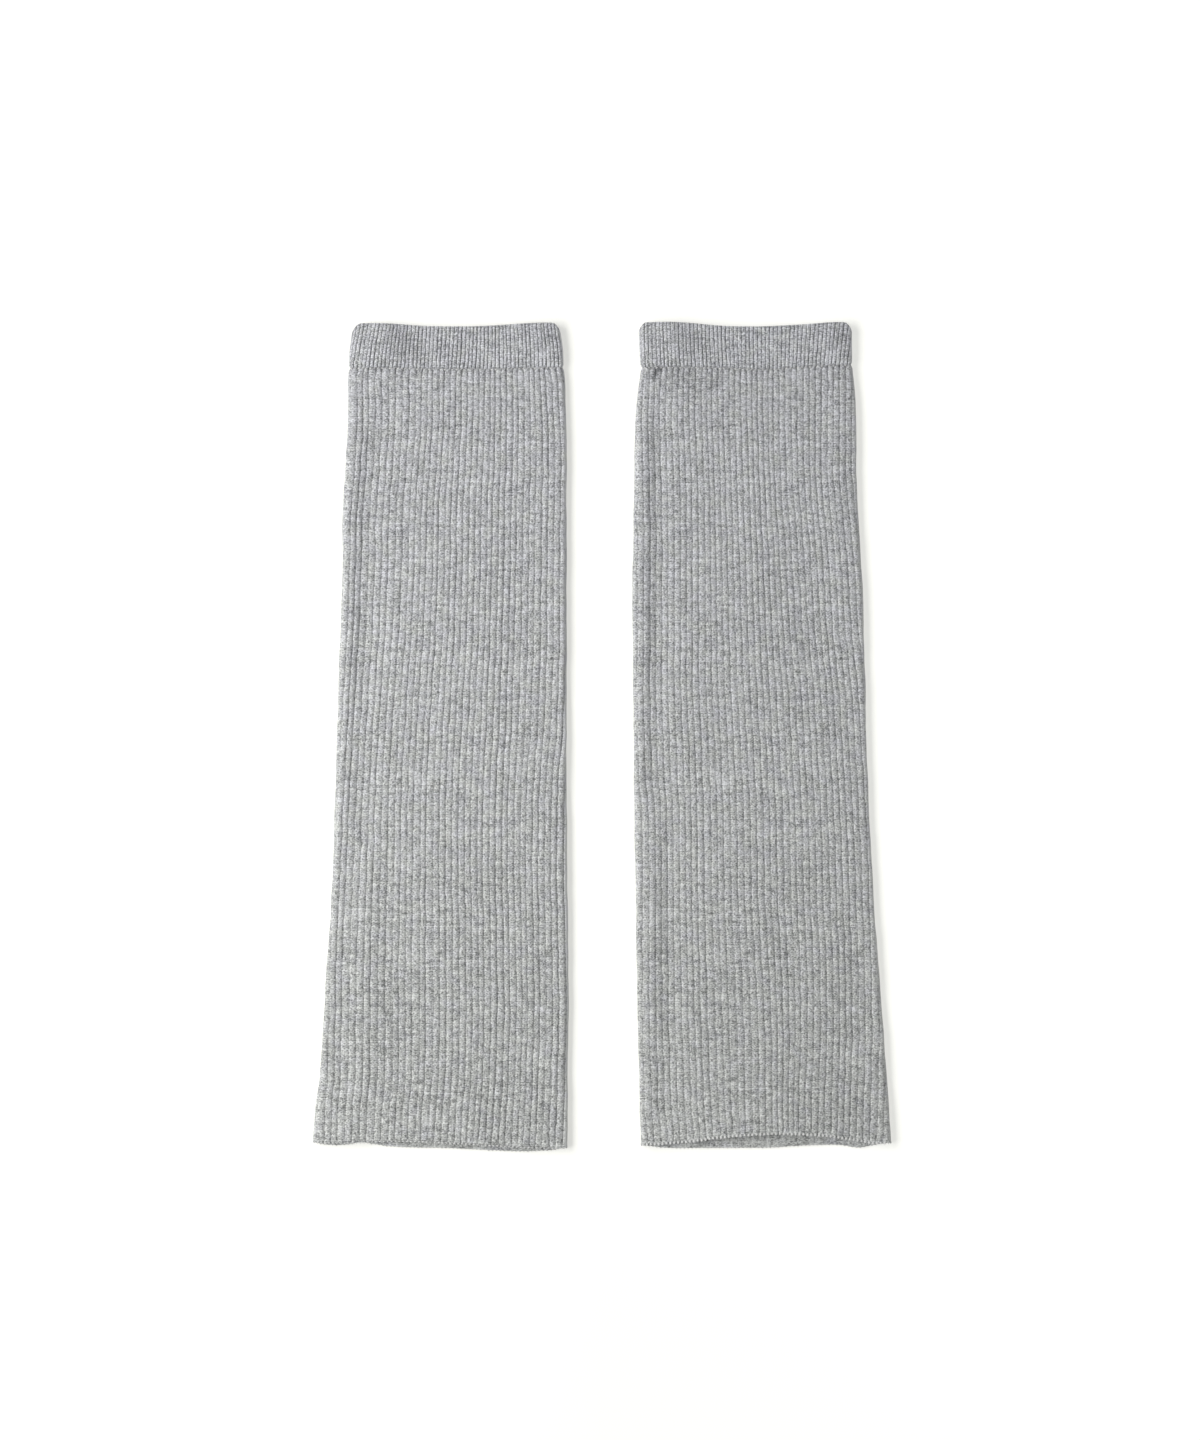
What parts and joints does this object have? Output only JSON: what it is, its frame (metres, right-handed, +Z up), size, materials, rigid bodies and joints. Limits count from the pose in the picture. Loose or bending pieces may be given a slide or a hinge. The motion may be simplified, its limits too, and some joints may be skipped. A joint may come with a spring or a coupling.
{
  "type": "pair of leg warmers",
  "caption": "Pair of ribbed grey melange leg warmers, laid flat side by side, each a flared knit tube with a folded fine-rib cuff.",
  "frame": {"origin": "middle of the pair's footprint, on the surface that it lies on", "axes": "+Z up off the surface, +Y along the legs from the hems to the cuffs, +X across the pair to the right-hand warmer"},
  "size_m": [0.2944, 0.423, 0.0084],
  "materials": {
    "wide_rib_knit": "matte",
    "fine_rib_knit": "matte"
  },
  "bodies": {
    "root": {"leg_left": "wide_rib_knit", "cuff_left": "fine_rib_knit", "leg_right": "wide_rib_knit", "cuff_right": "fine_rib_knit"}
  },
  "joints": []
}
